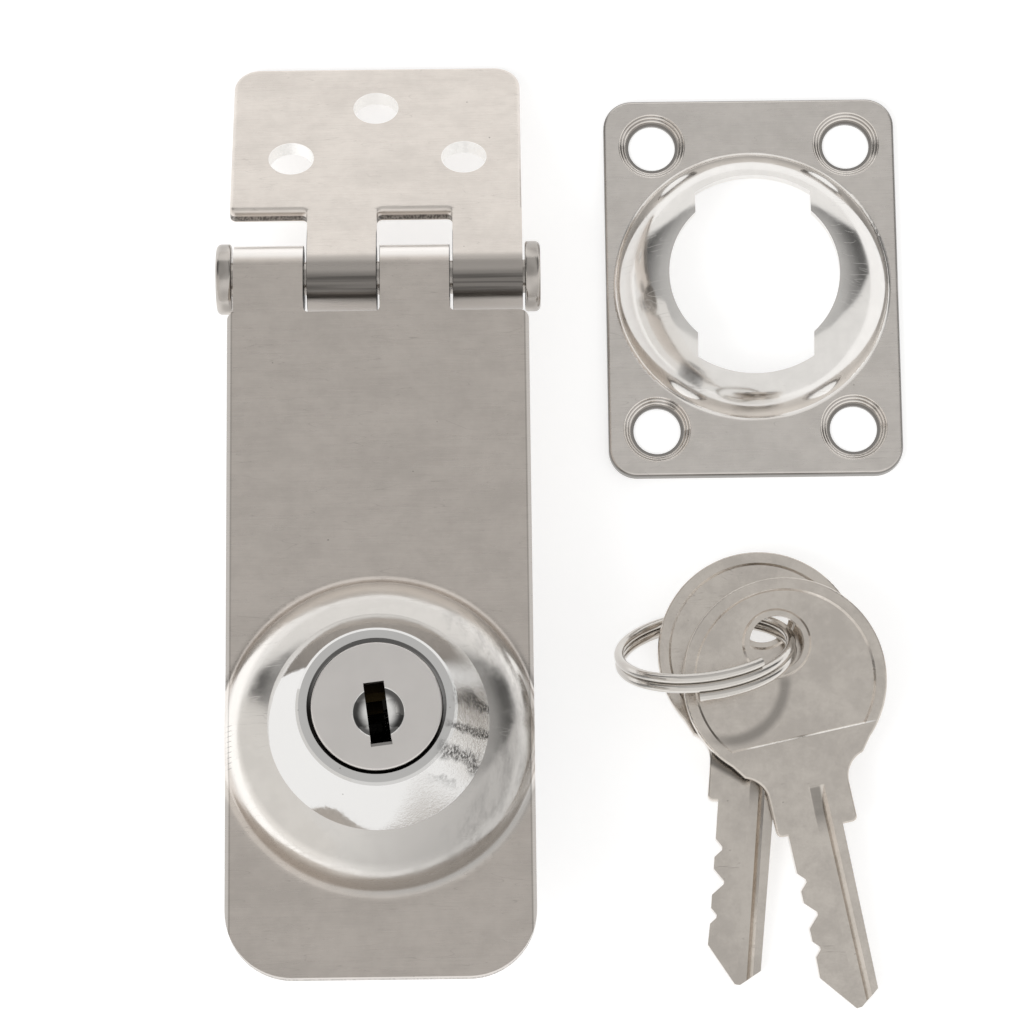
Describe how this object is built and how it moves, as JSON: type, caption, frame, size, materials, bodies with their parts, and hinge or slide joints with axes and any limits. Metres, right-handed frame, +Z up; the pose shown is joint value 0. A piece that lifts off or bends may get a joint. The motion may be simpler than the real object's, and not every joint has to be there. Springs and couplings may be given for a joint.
{
  "type": "keyed hasp lock",
  "caption": "Hinged hasp with a raised key cylinder and turning cam, its bossed strike plate with a lobed opening, and keys on a split ring",
  "frame": {"origin": "centre of the strike plate's flat back, on the table", "axes": "+X to the right over the three groups, +Y from the keys to the hinge end, +Z up from the table"},
  "size_m": [0.0878, 0.1245, 0.0381],
  "materials": {
    "stainless": "fine brushed",
    "chrome": "polished plate",
    "nickel": "nickel plated",
    "zinc": "zinc plated",
    "brass": "stamped",
    "plug": "satin plate",
    "spring": "bright wire"
  },
  "bodies": {
    "base": {"hasp_plate": "stainless", "hinge_pin": "stainless", "cylinder_housing": "chrome", "housing_washer": "zinc", "housing_nut": "zinc", "strike_plate": "stainless", "key_ring": "nickel"},
    "leaf": {"mount_leaf": "stainless"},
    "plug": {"key_plug": "plug", "wafer_springs": "spring", "stop_pin": "zinc", "plug_clip": "zinc", "locking_cam": "zinc", "cam_washer": "zinc", "cam_screw": "zinc"},
    "tumbler_1": {"wafer_1": "brass"},
    "tumbler_2": {"wafer_2": "brass"},
    "tumbler_3": {"wafer_3": "brass"},
    "tumbler_4": {"wafer_4": "brass"},
    "key_1_body": {"key_1": "nickel"},
    "key_2_body": {"key_2": "nickel"}
  },
  "joints": [
    {"name": "leaf_swing", "type": "hinge", "parent": "base", "child": "leaf", "pos_m": [-0.0482, -0.00219, 0.01487], "axis": [1, 0, 0], "range_deg": [-150, 125]},
    {"name": "plug_turn", "type": "hinge", "parent": "base", "child": "plug", "pos_m": [-0.0482, -0.0627, 0.02217], "axis": [0, 0.0509, 0.9987], "range_deg": [0, 90]},
    {"name": "tumbler_1_slide", "type": "slide", "parent": "plug", "child": "tumbler_1", "axis": [0.1236, -0.991, 0.0506], "range_m": [0, 0.001], "stiffness_N_per_m": 20},
    {"name": "tumbler_2_slide", "type": "slide", "parent": "plug", "child": "tumbler_2", "axis": [0.1236, -0.991, 0.0506], "range_m": [0, 0.001], "stiffness_N_per_m": 20},
    {"name": "tumbler_3_slide", "type": "slide", "parent": "plug", "child": "tumbler_3", "axis": [0.1236, -0.991, 0.0506], "range_m": [0, 0.001], "stiffness_N_per_m": 20},
    {"name": "tumbler_4_slide", "type": "slide", "parent": "plug", "child": "tumbler_4", "axis": [0.1236, -0.991, 0.0506], "range_m": [0, 0.001], "stiffness_N_per_m": 20},
    {"name": "key_1_swing", "type": "hinge", "parent": "base", "child": "key_1_body", "pos_m": [0.00003, -0.04846, 0.0088], "axis": [0, 0, 1], "range_deg": [-4, 30]},
    {"name": "key_2_swing", "type": "hinge", "parent": "base", "child": "key_2_body", "pos_m": [-0.002, -0.0455, 0.004], "axis": [0, 0, 1], "range_deg": [-3, 4.5]}
  ]
}
